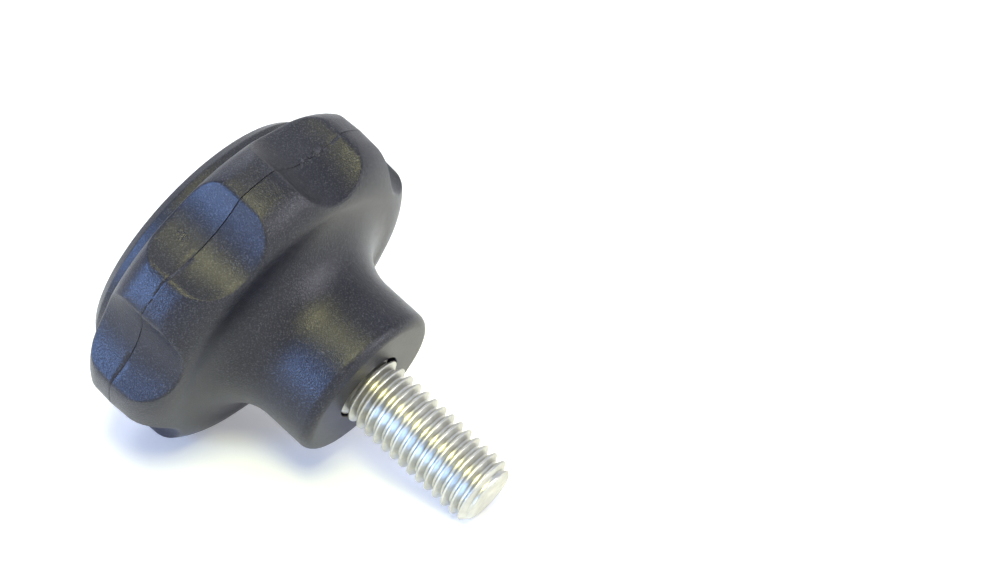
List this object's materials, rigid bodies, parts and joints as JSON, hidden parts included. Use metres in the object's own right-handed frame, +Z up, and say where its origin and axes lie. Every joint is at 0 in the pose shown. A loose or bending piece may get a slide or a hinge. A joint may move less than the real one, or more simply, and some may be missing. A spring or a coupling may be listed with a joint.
{
  "type": "lobed knob with threaded stud",
  "caption": "Hand knob with a fluted plastic head, a round hub, a pressed-in cap and a threaded steel stud, for clamping or adjusting by hand.",
  "frame": {"origin": "on the resting surface, under the middle of the lying knob's box", "axes": "+Z up, +X along the knob from its cap to its stud as it lies on its side"},
  "size_m": [0.0476, 0.0396, 0.0382],
  "materials": {
    "body_plastic": "black moulded plastic with a fine spark-eroded texture",
    "cap_plastic": "black moulded plastic with a fine spark-eroded texture",
    "zinc_steel": "bright zinc plating on rolled thread"
  },
  "bodies": {
    "root": {"knob_body": "body_plastic", "bolt": "zinc_steel", "cap": "cap_plastic"}
  },
  "joints": []
}
